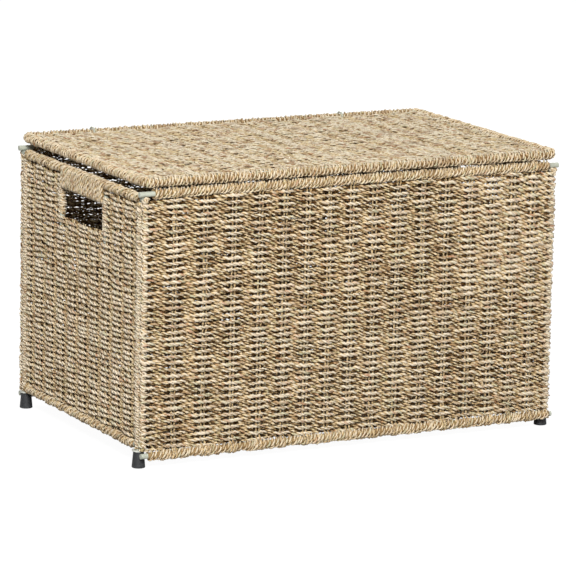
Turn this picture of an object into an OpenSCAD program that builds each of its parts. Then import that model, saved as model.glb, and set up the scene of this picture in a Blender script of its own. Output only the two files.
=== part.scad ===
// Woven storage trunk with a loose-ring hinged lid.
// A frame of bent round rod carries doubled upright cords, and twisted cord rows are woven
// across them. The rim, the bottom rails, the grips and the lid border are bound with cord.
// Origin: the middle of the footprint, on the floor. X runs along the length, the front is
// at -Y and Z points up.

/* [Overall size] */
// Length of the trunk over its woven end walls
trunk_length = 570; // [520:5:640]
// Depth of the trunk over its woven front and back walls
trunk_depth = 364; // [340:4:420]
// Height of the top of the bound rim above the floor
rim_height = 337.8; // [320:0.1:400]
// How far the lid border stands in from the front and back faces
lid_inset = 3.6; // [2:0.2:5]
// How far the lid border stands in from the end faces
lid_end_inset = 0; // [0:0.5:5]
// How far the lid sits to the right of the middle
lid_shift = 1.5; // [0:0.5:3]
// Gap between the top of the rim and the underside of the lid border
lid_gap = 3; // [1:0.1:3.5]

/* [Frame] */
// Diameter of the bent rod of the rim, the posts, the handles and the lid
rod_d = 6.5; // [5:0.5:7]
// Diameter of the front and back bottom rods
base_rod_d = 6.5; // [5:0.5:6.5]
// Diameter of a rod once it is bound with cord
bound_d = 11; // [10.5:0.5:12]
// Length of rod left bare beside each corner of the rim
rim_bare = 15; // [15:1:20]
// How far the binding of the front and back of the rim lies to the right of the middle
rim_wrap_shift = 3.3; // [0:0.3:3.3]
// Centreline radius of the bent corners of the lid frame
lid_bend = 6.5; // [6.5:0.5:20]
// Height of the centre of the front and back bottom rods
low_rail_z = 16.2; // [15.8:0.1:16.4]
// How far the front and back bottom rods lie to the right of the middle
low_rail_shift = 1.5; // [0:0.5:1.5]
// Height of the centre of the end bottom rods
high_rail_z = 26.5; // [26:0.5:32]

/* [Weave] */
// Thickness of the front and back weave
wall_t = 9; // [8:0.5:10]
// Thickness of the end wall weave
end_wall_t = 10; // [9:0.5:11]
// Thickness of the floor weave
floor_t = 8; // [6:1:10]
// Thickness of the lid weave
lid_t = 8.5; // [7:0.5:9]
// Diameter of one upright cord
cord_d = 3.6; // [3:0.2:4]
// Number of upright cord pairs in the front and in the back
long_pairs = 16; // [12:1:17]
// Spacing of those pairs
long_pitch = 32.8; // [28:0.2:33]
// How far the front pairs stray from even spacing
front_stray = 12; // [0:1:12]
// Number of upright cord pairs in each end
end_pairs = 10; // [8:1:10]
// Spacing of those pairs
end_pitch = 32.8; // [30:0.2:33]
// How far the end pairs stand back from the middle of the ends
end_shift = 9; // [0:1:9]

/* [Handles] */
// Width of each handle opening
hole_w = 117.4; // [100:0.2:130]
// Height of the bottom edge of the handle openings
hole_bottom = 269; // [255:1:280]
// Height of the bound grip, round the end rod of the rim and the lower handle bar
grip_h = 26.8; // [24:0.2:38]
// Length of the bound grip
grip_l = 127; // [110:1:135]
// How far the handles stand forward of the middle of the ends
handle_forward = 5.3; // [0:0.1:8]

/* [Hinge rings] */
// Wire diameter of the two oval rings
ring_wire = 2.5; // [2:0.1:3]
// Clearance between a ring and the bound rods that it holds
ring_play = 0.3; // [0.2:0.05:0.5]
// Place of the left ring along the length
ring_left_x = -188; // [-194:1:-186]
// Place of the right ring along the length
ring_right_x = 167; // [158:1:170]

/* [Feet] */
// Diameter of a foot cap at the floor
foot_d = 16.5; // [14:0.5:17]
// Diameter of a foot cap at its top
foot_top_d = 12.8; // [11:0.2:13]
// Height of a foot cap
foot_h = 20; // [19.5:0.5:20]
// Diameter of the washer on top of each foot cap
washer_d = 16; // [14:0.5:16]
// Thickness of that washer
washer_t = 1.5; // [0.8:0.1:1.8]
// Distance from the front and back faces to the centre of the posts
post_inset_y = 15.1; // [15:0.1:18]

/* [Hidden] */
$fn = 48;
// Gap round a piece that is fixed in another, and between pieces that only lie close
fit = 0.05;
clear = 0.3;
bound_r = bound_d / 2;
rod_r = rod_d / 2;
base_rod_r = base_rod_d / 2;
cord_r = cord_d / 2;
end_face = trunk_length / 2;
long_face = trunk_depth / 2;
// Centrelines of the rim rod
rim_x = end_face - bound_r;
rim_y = long_face - bound_r;
rim_z = rim_height - bound_r;
// The front and back rim rods lie on the end rods and run on a little past them
rim_end = end_face + 2;
end_rim_z = rim_z - rod_d - fit;
// Centrelines of the lid frame
lid_x = end_face - lid_end_inset - bound_r;
lid_y = long_face - lid_inset - bound_r;
lid_z = rim_height + lid_gap + bound_r;
// Posts stand in the plane of the end frames
post_x = rim_x;
post_y = long_face - post_inset_y;
post_bottom = 4;
post_top = end_rim_z - rod_r - fit;
// The front and back bottom rods and their binding pass in front of the foot caps
base_bound_r = 6;
low_rail_y = long_face - 2;
low_rail_end = end_face - 0.5;
bare_left = 7.5;
bare_right = 2;
// Woven walls stop a little short of the bound rods above and below them
wall_top = rim_height - bound_d - 4.5;
wall_bottom = low_rail_z + base_bound_r + clear;
end_wall_top = wall_top - rod_d;
end_wall_bottom = high_rail_z + bound_r + 1;
wall_inner = long_face - wall_t;
end_wall_inner = end_face - end_wall_t;
warp_y = long_face - wall_t / 2 - 0.5;
warp_x = end_face - end_wall_t / 2 - 0.5;
warp_half = 2.2;
// The front pairs are set by eye: an even drift and three waves, as shares of front_stray
stray_drift = 0.46;
stray_waves = [1, 0.27, 0.45];
// Handles
handle_y = -handle_forward;
grip_bottom = end_rim_z + bound_r - grip_h;
bar_z = grip_bottom + bound_r;
leg_y = hole_w / 2 + 5.5;
leg_bottom = hole_bottom - 14;
// Floor
cross_d = 5;
cross_pitch = 142;
floor_bottom = low_rail_z + cross_d / 2 + fit;
// Lid
lid_weave_z = lid_z + bound_r - 1 - lid_t;
lid_cross_d = 4.5;
lid_cross_z = lid_weave_z + lid_t / 2;
// Rings: both bound rods lie inside one oval, whose ends are centred on them
ring_r = bound_r + ring_play + ring_wire / 2;
ring_dy = lid_y - rim_y;
ring_dz = lid_z - rim_z;
ring_gap = sqrt(ring_dy * ring_dy + ring_dz * ring_dz);
ring_tilt = atan2(-ring_dy, ring_dz);
ring_notch = ring_wire + 5;

straw = [0.70, 0.60, 0.45];
pale_straw = [0.79, 0.72, 0.60];
painted = [0.70, 0.71, 0.65];
black = [0.13, 0.13, 0.13];

// A round bar along X, centred on the origin
module bar_x(length, r) {
    rotate([0, 90, 0])
        cylinder(h = length, r = r, center = true);
}

// A round bar along Y, centred on the origin
module bar_y(length, r) {
    rotate([90, 0, 0])
        cylinder(h = length, r = r, center = true);
}

// Cord bound round a straight rod along X: a tube
module bound_x(length, outer, inner) {
    difference() {
        bar_x(length, outer);
        bar_x(length + 2, inner + fit);
    }
}

// Cord bound round a straight rod along Y: a tube
module bound_y(length, outer, inner) {
    difference() {
        bar_y(length, outer);
        bar_y(length + 2, inner + fit);
    }
}

// A quarter bend of round section in the XY plane, from +X round to +Y
module bend(radius, outer, inner = 0) {
    rotate_extrude(angle = 90)
        translate([radius, 0])
            difference() {
                circle(r = outer);
                if (inner > 0)
                    circle(r = inner);
            }
}

// The four corners of a rectangle with bent corners, each turned into place
module at_corners(x, y, radius) {
    for (turn = [0:3]) {
        sx = (turn == 0 || turn == 3) ? 1 : -1;
        sy = (turn < 2) ? 1 : -1;
        translate([sx * (x - radius), sy * (y - radius), 0])
            rotate([0, 0, 90 * turn])
                children();
    }
}

// A closed rectangle of round rod with bent corners
module bent_rectangle(x, y, radius, r) {
    union() {
        for (side = [-1, 1]) {
            translate([0, side * y, 0])
                bar_x(2 * (x - radius), r);
            translate([side * x, 0, 0])
                bar_y(2 * (y - radius), r);
        }
        at_corners(x, y, radius)
            bend(radius, r);
    }
}

// --- Frame ---

// The rim: two end rods, and the front and back rods that lie across them
module top_rim_rod() {
    color(painted)
        for (side = [-1, 1]) {
            translate([0, side * rim_y, rim_z])
                bar_x(2 * rim_end, rod_r);
            translate([side * rim_x, 0, end_rim_z])
                bar_y(2 * (rim_y + rod_r), rod_r);
        }
}

module post(sx, sy) {
    color(painted)
        translate([sx * post_x, sy * post_y, post_bottom])
            cylinder(h = post_top - post_bottom, r = rod_r);
}

// The bottom rod of the front (side = -1) or the back (side = 1)
module low_rail(side) {
    color(painted)
        translate([low_rail_shift, side * low_rail_y, low_rail_z])
            bar_x(2 * low_rail_end, base_rod_r);
}

// The bottom rod of an end, saddle cut against the two posts
module high_rail(side) {
    color(painted)
        difference() {
            translate([side * post_x, 0, high_rail_z])
                bar_y(2 * post_y, rod_r);
            for (sy = [-1, 1])
                translate([side * post_x, sy * post_y, 0])
                    cylinder(h = 60, r = rod_r + fit);
        }
}

module floor_cross_rods() {
    color(painted)
        for (i = [-1:1])
            difference() {
                translate([i * cross_pitch, 0, low_rail_z])
                    bar_y(2 * low_rail_y, cross_d / 2);
                for (side = [-1, 1])
                    translate([i * cross_pitch, side * low_rail_y, low_rail_z])
                        bar_x(20, base_rod_r + fit);
            }
}

// The lower handle bar and the two legs under it that edge the opening
module handle_frame(side) {
    color(painted)
        translate([side * rim_x, handle_y, 0])
            union() {
                translate([0, 0, bar_z])
                    bar_y(2 * leg_y, rod_r);
                for (sy = [-1, 1])
                    translate([0, sy * leg_y, leg_bottom])
                        cylinder(h = bar_z + rod_r - leg_bottom, r = rod_r);
            }
}

// --- Cord bound round the frame ---

module rim_wrap_long(side) {
    color(pale_straw)
        translate([rim_wrap_shift, side * rim_y, rim_z])
            bound_x(2 * (rim_end - rim_bare), bound_r, rod_r);
}

// The binding of an end of the rim, in two lengths on either side of the grip
module rim_wrap_end(side) {
    straight = post_y - rod_r - clear;
    grip_front = handle_y - grip_l / 2 - fit;
    grip_back = handle_y + grip_l / 2 + fit;
    color(pale_straw)
        for (span = [[-straight, grip_front], [grip_back, straight]])
            translate([side * rim_x, (span[0] + span[1]) / 2, end_rim_z])
                bound_y(span[1] - span[0], bound_r, rod_r);
}

module base_wrap_long(side) {
    span = [low_rail_shift - low_rail_end + bare_left, low_rail_shift + low_rail_end - bare_right];
    color(straw)
        difference() {
            translate([(span[0] + span[1]) / 2, side * low_rail_y, low_rail_z])
                bound_x(span[1] - span[0], base_bound_r, base_rod_r);
            for (i = [-1:1])
                translate([i * cross_pitch, side * low_rail_y / 2, low_rail_z])
                    bar_y(low_rail_y, cross_d / 2 + fit);
        }
}

module base_wrap_end(side) {
    color(straw)
        translate([side * post_x, 0, high_rail_z])
            bound_y(2 * (post_y - washer_d / 2 - 0.5), bound_r, rod_r);
}

// One flat binding round the rim rod and the lower handle bar together
module handle_grip(side) {
    color(pale_straw)
        translate([side * rim_x, handle_y, 0])
            difference() {
                union() {
                    translate([0, 0, end_rim_z])
                        bar_y(grip_l, bound_r);
                    translate([0, 0, bar_z])
                        bar_y(grip_l, bound_r);
                    translate([-bound_r, -grip_l / 2, bar_z])
                        cube([bound_d, grip_l, end_rim_z - bar_z]);
                }
                for (z = [bar_z, end_rim_z])
                    translate([0, 0, z])
                        bar_y(grip_l + 2, rod_r + fit);
                for (sy = [-1, 1])
                    translate([0, sy * leg_y, grip_bottom - 1])
                        cylinder(h = bound_r + rod_r + fit + 1, r = rod_r + fit);
            }
}

// --- Upright cords, in pairs ---

function spread(count, pitch) = [for (i = [0:count - 1]) (i - (count - 1) / 2) * pitch];

// Share of front_stray at a turn of 0 to 180 degrees along the front
function stray(turn) =
    stray_drift + stray_waves[0] * sin(turn) + stray_waves[1] * sin(2 * turn)
    + stray_waves[2] * sin(3 * turn);

// Places of the pairs along the front (side = -1) or the back (side = 1)
function long_places(side) =
    let (even = spread(long_pairs, long_pitch), last = long_pairs - 1)
    side > 0 ? even : [for (i = [0:last]) even[i] + front_stray * stray(180 * i / last)];

end_places = [for (y = spread(end_pairs, end_pitch)) y + end_shift];

module cord_pair(bottom, top, grow = 0) {
    for (s = [-1, 1])
        translate([s * warp_half, 0, bottom])
            cylinder(h = top - bottom, r = cord_r + grow);
}

long_warp_top = rim_z - bound_r - fit * 2;
long_warp_bottom = low_rail_z + base_bound_r + fit * 2;
end_warp_bottom = high_rail_z + bound_r + fit * 2;
end_warp_high = end_rim_z - bound_r - fit * 2;

module warp_cords_long(side) {
    color(straw)
        for (x = long_places(side))
            translate([x, side * warp_y, 0])
                cord_pair(long_warp_bottom, long_warp_top);
}

// An upright pair stops under the handle opening, or under a leg where it would meet one
function end_warp_top(y) =
    let (away = abs(y - handle_y))
    away > leg_y + 2 * rod_r ? end_warp_high
    : away < leg_y - 2 * rod_r ? hole_bottom - 0.5
    : leg_bottom - clear;

module warp_cords_end(side) {
    color(straw)
        for (y = end_places)
            translate([side * warp_x, y, 0])
                rotate([0, 0, 90])
                    cord_pair(end_warp_bottom, end_warp_top(y));
}

// --- Woven walls: the outer shape of the rows, with a channel for each upright ---

module weave_long(side) {
    color(straw)
        difference() {
            translate([-end_face, side > 0 ? wall_inner : -long_face, wall_bottom])
                cube([2 * end_face, wall_t, wall_top - wall_bottom]);
            for (x = long_places(side))
                translate([x, side * warp_y, 0])
                    cord_pair(0, rim_height, fit);
        }
}

module weave_end(side) {
    half_y = wall_inner - clear;
    color(straw)
        difference() {
            translate([side > 0 ? end_wall_inner : -end_face, -half_y, end_wall_bottom])
                cube([end_wall_t, 2 * half_y, end_wall_top - end_wall_bottom]);
            // The opening, and above it the room for the grip
            translate([side * end_face - 20, handle_y - hole_w / 2, hole_bottom])
                cube([40, hole_w, rim_height]);
            translate([side * end_face - 20, handle_y - grip_l / 2 - clear, grip_bottom - clear])
                cube([40, grip_l + 2 * clear, rim_height]);
            for (y = end_places)
                translate([side * warp_x, y, 0])
                    rotate([0, 0, 90])
                        cord_pair(0, end_warp_top(y) + 10, fit);
            for (sy = [-1, 1]) {
                translate([side * post_x, sy * post_y, 0])
                    cylinder(h = rim_height, r = rod_r + fit);
                translate([side * rim_x, handle_y + sy * leg_y, leg_bottom - fit])
                    cylinder(h = rim_height, r = rod_r + fit);
            }
        }
}

module floor_weave() {
    half_x = post_x - bound_r - clear;
    half_y = wall_inner - clear;
    color(straw)
        difference() {
            translate([-half_x, -half_y, floor_bottom])
                cube([2 * half_x, 2 * half_y, floor_t]);
            for (sx = [-1, 1])
                for (sy = [-1, 1])
                    translate([sx * post_x, sy * post_y, 0])
                        cylinder(h = 2 * high_rail_z, r = washer_d / 2 + clear);
        }
}

// --- Feet ---

module foot(sx, sy) {
    color(black)
        translate([sx * post_x, sy * post_y, 0])
            difference() {
                cylinder(h = foot_h, r1 = foot_d / 2, r2 = foot_top_d / 2);
                translate([0, 0, post_bottom])
                    cylinder(h = foot_h, r = rod_r + fit);
            }
}

module foot_washers() {
    color(painted)
        for (sx = [-1, 1])
            for (sy = [-1, 1])
                translate([sx * post_x, sy * post_y, foot_h + fit])
                    difference() {
                        cylinder(h = washer_t, r = washer_d / 2);
                        translate([0, 0, -1])
                            cylinder(h = 4, r = rod_r + fit);
                    }
}

// --- Hinge rings ---

module hinge_ring(x) {
    wire_r = ring_wire / 2;
    color(painted)
        translate([x, rim_y, rim_z])
            rotate([ring_tilt, 0, 0])
                rotate([90, 0, 90])
                    union() {
                        translate([0, ring_gap, 0])
                            rotate_extrude(angle = 180)
                                translate([ring_r, 0])
                                    circle(r = wire_r);
                        rotate([0, 0, 180])
                            rotate_extrude(angle = 180)
                                translate([ring_r, 0])
                                    circle(r = wire_r);
                        for (side = [-1, 1])
                            translate([side * ring_r, 0, 0])
                                rotate([-90, 0, 0])
                                    cylinder(h = ring_gap, r = wire_r);
                    }
}

// --- Lid ---

module lid_frame_rod() {
    color(painted)
        translate([lid_shift, 0, lid_z])
            bent_rectangle(lid_x, lid_y, lid_bend, rod_r);
}

module lid_cross_rods() {
    color(painted)
        for (i = [-1:1])
            difference() {
                translate([i * cross_pitch, 0, lid_cross_z])
                    bar_y(2 * lid_y, lid_cross_d / 2);
                for (side = [-1, 1])
                    translate([i * cross_pitch, side * lid_y, lid_z])
                        bar_x(20, rod_r + fit);
            }
}

module lid_wrap_long(side) {
    color(pale_straw)
        difference() {
            translate([lid_shift, side * lid_y, lid_z])
                bound_x(2 * (lid_x - lid_bend), bound_r, rod_r);
            for (i = [-1:1])
                translate([i * cross_pitch, side * lid_y / 2, lid_cross_z])
                    bar_y(lid_y, lid_cross_d / 2 + fit);
        }
}

module lid_wrap_end(side) {
    color(pale_straw)
        translate([lid_shift + side * lid_x, 0, lid_z])
            bound_y(2 * (lid_y - lid_bend), bound_r, rod_r);
}

module lid_wrap_corners() {
    color(pale_straw)
        translate([lid_shift, 0, lid_z])
            at_corners(lid_x, lid_y, lid_bend)
                bend(lid_bend, bound_r, rod_r + fit);
}

// The woven panel inside the lid frame, cut away at the corners and round the rings
module lid_weave() {
    half_x = lid_x - bound_r - fit;
    half_y = lid_y - bound_r - fit;
    corner = lid_bend;
    ring_room = lid_y - ring_r - ring_wire / 2 - clear;
    color(pale_straw)
        difference() {
            translate([lid_shift - half_x, -half_y, lid_weave_z])
                cube([2 * half_x, 2 * half_y, lid_t]);
            for (sx = [-1, 1])
                for (sy = [-1, 1])
                    translate([lid_shift + sx * half_x, sy * half_y, 0])
                        rotate([0, 0, 45])
                            cube([corner, corner, 4 * lid_z], center = true);
            for (x = [ring_left_x, ring_right_x])
                translate([x - ring_notch / 2, ring_room, 0])
                    cube([ring_notch, half_y, 2 * lid_z]);
            for (i = [-1:1])
                translate([i * cross_pitch, 0, lid_cross_z])
                    bar_y(2 * lid_y, lid_cross_d / 2 + fit);
        }
}

top_rim_rod();
rim_wrap_long(-1);  // rim_wrap_front
rim_wrap_long(1);  // rim_wrap_back
rim_wrap_end(-1);  // rim_wrap_left
rim_wrap_end(1);  // rim_wrap_right
post(-1, -1);  // post_front_left
post(1, -1);  // post_front_right
post(-1, 1);  // post_back_left
post(1, 1);  // post_back_right
low_rail(-1);  // base_rod_front
low_rail(1);  // base_rod_back
high_rail(-1);  // base_rod_left
high_rail(1);  // base_rod_right
base_wrap_long(-1);  // base_wrap_front
base_wrap_long(1);  // base_wrap_back
base_wrap_end(-1);  // base_wrap_left
base_wrap_end(1);  // base_wrap_right
floor_cross_rods();
floor_weave();
handle_frame(-1);  // handle_frame_left
handle_frame(1);  // handle_frame_right
handle_grip(-1);  // handle_grip_left
handle_grip(1);  // handle_grip_right
weave_long(-1);  // weave_front
weave_long(1);  // weave_back
weave_end(-1);  // weave_left
weave_end(1);  // weave_right
warp_cords_long(-1);  // warp_cords_front
warp_cords_long(1);  // warp_cords_back
warp_cords_end(-1);  // warp_cords_left
warp_cords_end(1);  // warp_cords_right
foot(-1, -1);  // foot_front_left
foot(1, -1);  // foot_front_right
foot(-1, 1);  // foot_back_left
foot(1, 1);  // foot_back_right
foot_washers();
hinge_ring(ring_left_x);  // hinge_ring_left
hinge_ring(ring_right_x);  // hinge_ring_right
lid_frame_rod();
lid_cross_rods();
lid_weave();
lid_wrap_long(-1);  // lid_wrap_front
lid_wrap_long(1);  // lid_wrap_back
lid_wrap_end(-1);  // lid_wrap_left
lid_wrap_end(1);  // lid_wrap_right
lid_wrap_corners();
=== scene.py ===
"""Looks of the woven storage trunk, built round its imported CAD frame.

Lengths are millimetres until a mesh is made. The materials, the stage and the camera are in metres."""

import math

import bpy
import numpy as np
from mathutils import Matrix, Vector


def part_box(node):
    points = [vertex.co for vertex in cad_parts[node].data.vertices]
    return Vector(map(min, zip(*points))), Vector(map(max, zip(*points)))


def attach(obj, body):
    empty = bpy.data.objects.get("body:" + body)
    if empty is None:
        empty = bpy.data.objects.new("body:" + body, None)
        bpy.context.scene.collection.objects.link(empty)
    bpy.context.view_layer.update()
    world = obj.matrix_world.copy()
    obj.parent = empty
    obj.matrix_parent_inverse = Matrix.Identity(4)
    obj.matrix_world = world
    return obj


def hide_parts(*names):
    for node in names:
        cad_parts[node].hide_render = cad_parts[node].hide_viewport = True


MM = 0.001
TAU = 2 * math.pi
PAIR_GAP = 8.0

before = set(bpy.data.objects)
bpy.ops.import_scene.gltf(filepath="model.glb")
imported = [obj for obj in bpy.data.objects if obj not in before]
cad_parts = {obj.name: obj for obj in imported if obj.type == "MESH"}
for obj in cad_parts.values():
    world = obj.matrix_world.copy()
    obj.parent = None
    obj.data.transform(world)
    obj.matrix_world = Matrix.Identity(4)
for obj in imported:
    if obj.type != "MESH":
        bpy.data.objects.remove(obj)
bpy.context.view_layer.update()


def box(node):
    """Lowest and highest corner of a CAD node in millimetres."""
    low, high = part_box(node)
    return np.array(low) / MM, np.array(high) / MM


def upright_places(node, axis):
    """Middle and top of each upright pair of a CAD node, in millimetres, in order along the axis."""
    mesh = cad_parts[node].data
    points = np.empty(len(mesh.vertices) * 3)
    mesh.vertices.foreach_get("co", points)
    points = points.reshape(-1, 3) / MM
    points = points[np.argsort(points[:, axis])]
    groups = np.split(points, np.nonzero(np.diff(points[:, axis]) > PAIR_GAP)[0] + 1)
    middles = np.array([(g[0, axis] + g[-1, axis]) / 2 for g in groups])
    return middles, np.array([g[:, 2].max() for g in groups])


# ---- noise


def smooth_noise(rng, shape, reach):
    """Noise of that shape with a spread of 1, smoothed over reach samples along each axis."""
    spectrum = np.fft.fftn(rng.normal(size=shape))
    for axis, size in enumerate(shape):
        damp = np.exp(-2 * (math.pi * reach[axis] * np.fft.fftfreq(size)) ** 2)
        spectrum *= damp.reshape([-1 if a == axis else 1 for a in range(len(shape))])
    field = np.real(np.fft.ifftn(spectrum))
    return (field - field.mean()) / max(field.std(), 1e-9)


def unit(v):
    """The vectors, each made one long."""
    return v / np.maximum(np.linalg.norm(v, axis=-1, keepdims=True), 1e-9)


def lengths(path):
    """Distance along the path to each of its points."""
    return np.concatenate([[0], np.cumsum(np.linalg.norm(np.diff(path, axis=0), axis=1))])


def resample(path, spacing):
    """The path again, with points that far apart."""
    s = lengths(path)
    t = np.linspace(0, s[-1], max(int(round(s[-1] / spacing)), 2) + 1)
    return read_off(path, s, t)


def frames(path, facing):
    """Two directions square to the path at each of its points: across it, and out of it towards facing."""
    tangent = unit(np.gradient(path, axis=0))
    across = unit(np.cross(np.broadcast_to(facing, path.shape), tangent))
    return across, np.cross(tangent, across)


def read_off(values, at, along):
    """The rows of values, which lie at the distances at, read off at the distances along."""
    return np.stack([np.interp(along, at, values[:, i]) for i in range(values.shape[1])], axis=1)


# ---- tubes

UV_GUTTER = 0.002
UV_FILL = 0.98
# The most, in millimetres, that a strand's pattern is shifted along it, so that no two strands look alike.
SEED_STEP = 997.0

# The groove between two plies lies from GROOVE_LOW to GROOVE_HIGH of a cord's reach. It gets painted shade,
# which at its deepest leaves the share of the colour set next.
GROOVE_LOW = 0.3
GROOVE_HIGH = 0.78
GROOVE_PAINTED_SHADE = 0.42

# How far along a cord, in millimetres, its twist, thickness, flatness, spread and colours keep to one value.
TWIST_RUN = 26
TWIST_SPREAD = 1.1
THICK_RUN = 7
FLAT_RUN = 9
APART_RUN = 12
LONG_TINT_RUN, LONG_TINT = 34, 0.75
SHORT_TINT_RUN, SHORT_TINT = 5, 0.65
TINT_GAIN = 0.8
END_THICKNESS = 0.55
PLIES = 2


class Bundle:
    """Tubes swept along paths and gathered into one mesh.

    The mesh keeps each point's place on its strand as if the strand were straight, so that a material can
    run along it."""

    def __init__(self, seed):
        self.rng = np.random.default_rng(seed)
        self.points, self.fibres, self.tints, self.opens = [], [], [], []
        self.quads, self.caps, self.runs = [], [], []
        self.count = 0

    def tube(self, path, facing, half_width, half_height, sides=5, tint=None, open_at=None):
        """A tube along path. facing is the way its half_height lies, across the path.

        open_at says how far out of the crevices each point lies, from 0 to 1; the material paints shade over
        the points that lie deeper."""
        n = len(path)
        across, out = frames(path, facing)
        angle = np.arange(sides) * TAU / sides
        wide = np.broadcast_to(half_width, n)[:, None] * np.cos(angle)
        high = np.broadcast_to(half_height, n)[:, None] * np.sin(angle)
        ring = path[:, None] + across[:, None] * wide[..., None] + out[:, None] * high[..., None]
        s = lengths(path)
        along = np.broadcast_to(s[:, None] + SEED_STEP * self.rng.random(), wide.shape)
        self.points.append(ring.reshape(-1, 3))
        self.fibres.append(np.stack([along, wide, high], axis=-1).reshape(-1, 3))
        if tint is None:
            tint = np.full(n, self.rng.random())
        self.tints.append(np.repeat(tint, sides))
        self.opens.append(np.ones(n * sides) if open_at is None else open_at(ring).ravel())
        i, j = np.meshgrid(np.arange(n - 1), np.arange(sides), indexing="ij")
        k = (j + 1) % sides
        quad = np.stack([i * sides + j, i * sides + k, (i + 1) * sides + k, (i + 1) * sides + j], -1)
        self.quads.append(quad.reshape(-1, 4) + self.count)
        first = np.arange(sides)[::-1] + self.count
        last = np.arange(sides) + self.count + (n - 1) * sides
        self.caps += [first, last]
        girth = TAU * float(np.mean(half_width) + np.mean(half_height)) / 2
        self.runs.append((s, sides, girth))
        self.count += n * sides

    def cord(self, path, facing, ply, apart, lay, sides=5, rough=0.1, level=None, deep=0.0, inner=1.0):
        """A cord of two twisted plies: each of radius ply, apart from the cord's axis, one turn in lay.

        level is how far the path lies from the middle of its wall, and deep the most that it does: points
        deeper in the wall get more painted shade.
        inner is how open the inner side of the wall looks beside the outer one: below 1 it paints shade over
        the whole inner side."""
        n = len(path)
        reach = float(np.max(ply)) + apart
        normal = unit(np.broadcast_to(facing, path.shape))

        # Painted shade: each point is less open in the groove between the plies, deeper in the wall, on the
        # wall's inner side, and, without a level, on the cord's side turned away from facing.
        def open_at(ring):
            rise = np.einsum("nsk,nk->ns", ring - path[:, None], normal)
            far = np.linalg.norm(ring - path[:, None], axis=2) / reach
            out_of_groove = np.clip((far - GROOVE_LOW) / (GROOVE_HIGH - GROOVE_LOW), 0, 1)
            groove = GROOVE_PAINTED_SHADE + (1 - GROOVE_PAINTED_SHADE) * out_of_groove
            if level is None:
                return groove * np.clip(0.5 + 0.5 * rise / reach, 0, 1)
            height = level[:, None] + rise
            return groove * np.clip(np.maximum(height, -inner * height) / (deep + reach), 0, 1)

        s = lengths(path)
        step = max(s[-1] / (n - 1), 0.1)

        def drift(run):
            return smooth_noise(self.rng, (n,), (run / step,))

        across, out = frames(path, facing)
        turn = -TAU * s / lay + TWIST_SPREAD * drift(TWIST_RUN) + TAU * self.rng.random()
        taper = np.clip(np.minimum(s, s[-1] - s) / (2 * np.max(ply)), 0, 1)
        taper = END_THICKNESS + (1 - END_THICKNESS) * np.sqrt(taper * (2 - taper))
        for k in range(PLIES):
            a = turn + TAU * k / PLIES
            way = out * np.cos(a)[:, None] + across * np.sin(a)[:, None]
            radius = ply * taper * (1 + rough * drift(THICK_RUN))
            flat = 1 + 0.5 * rough * drift(FLAT_RUN)
            off = apart * (1 + rough * drift(APART_RUN))
            mood = LONG_TINT * drift(LONG_TINT_RUN) + SHORT_TINT * drift(SHORT_TINT_RUN)
            tint = 0.5 + 0.5 * np.tanh(mood * TINT_GAIN)
            self.tube(path + way * off[:, None], way, radius * flat, radius / flat, sides, tint, open_at)

    def uv(self):
        """A layout for baked pictures: every strand cut into one long ribbon, laid in lines."""
        total = sum(r[0][-1] for r in self.runs)
        girth = max(r[2] for r in self.runs)
        longest = max(float(np.diff(r[0]).max()) for r in self.runs)
        a, b = total * girth, total * UV_GUTTER
        scale = UV_FILL * (-b + math.sqrt(b * b + 4 * a)) / (2 * a)
        reach = 1 / scale - longest - 1
        tall = girth * scale + UV_GUTTER
        base, parts = 0.0, []
        for s, sides, around in self.runs:
            start, end = base + s[:-1], base + s[1:]
            row = np.floor(start / reach)
            u0, u1 = (start - row * reach) * scale, (end - row * reach) * scale
            j = np.arange(sides)
            v0 = row[:, None] * tall + UV_GUTTER / 2 + j * around * scale / sides
            v1 = v0 + around * scale / sides
            u0, u1 = np.broadcast_to(u0[:, None], v0.shape), np.broadcast_to(u1[:, None], v0.shape)
            corners = [(u0, v0), (u0, v1), (u1, v1), (u1, v0)]
            parts.append(np.stack([np.stack(c, -1) for c in corners], 2).reshape(-1, 2))
            base += s[-1]
        quads = np.concatenate(parts)
        ends = []
        at = 0
        for s, sides, _ in self.runs:
            loops = (len(s) - 1) * sides * 4
            ends.append(np.repeat(quads[at : at + 1], sides, axis=0))
            ends.append(np.repeat(quads[at + loops - 1 : at + loops], sides, axis=0))
            at += loops
        return np.clip(np.concatenate([quads, *ends]), 0, 1)

    def build(self, name, material, body, slot, *nodes):
        """Makes the mesh in metres, rides it on its body and hides the CAD nodes it stands for."""
        points = np.concatenate(self.points) * MM
        quads = np.concatenate(self.quads)
        corners = np.concatenate([quads.ravel(), *self.caps])
        totals = np.concatenate([np.full(len(quads), 4), [len(c) for c in self.caps]])
        starts = np.concatenate([[0], np.cumsum(totals)[:-1]])
        mesh = bpy.data.meshes.new(name)
        mesh.vertices.add(len(points))
        mesh.vertices.foreach_set("co", points.astype(np.float32).ravel())
        mesh.loops.add(len(corners))
        mesh.loops.foreach_set("vertex_index", corners.astype(np.int32))
        mesh.polygons.add(len(totals))
        mesh.polygons.foreach_set("loop_start", starts.astype(np.int32))
        mesh.polygons.foreach_set("use_smooth", np.ones(len(totals), bool))
        mesh.update(calc_edges=True)
        fibre = mesh.attributes.new("fibre", "FLOAT_VECTOR", "POINT")
        fibre.data.foreach_set("vector", (np.concatenate(self.fibres) * MM).astype(np.float32).ravel())
        tint = mesh.attributes.new("tint", "FLOAT", "POINT")
        tint.data.foreach_set("value", np.concatenate(self.tints).astype(np.float32))
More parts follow.
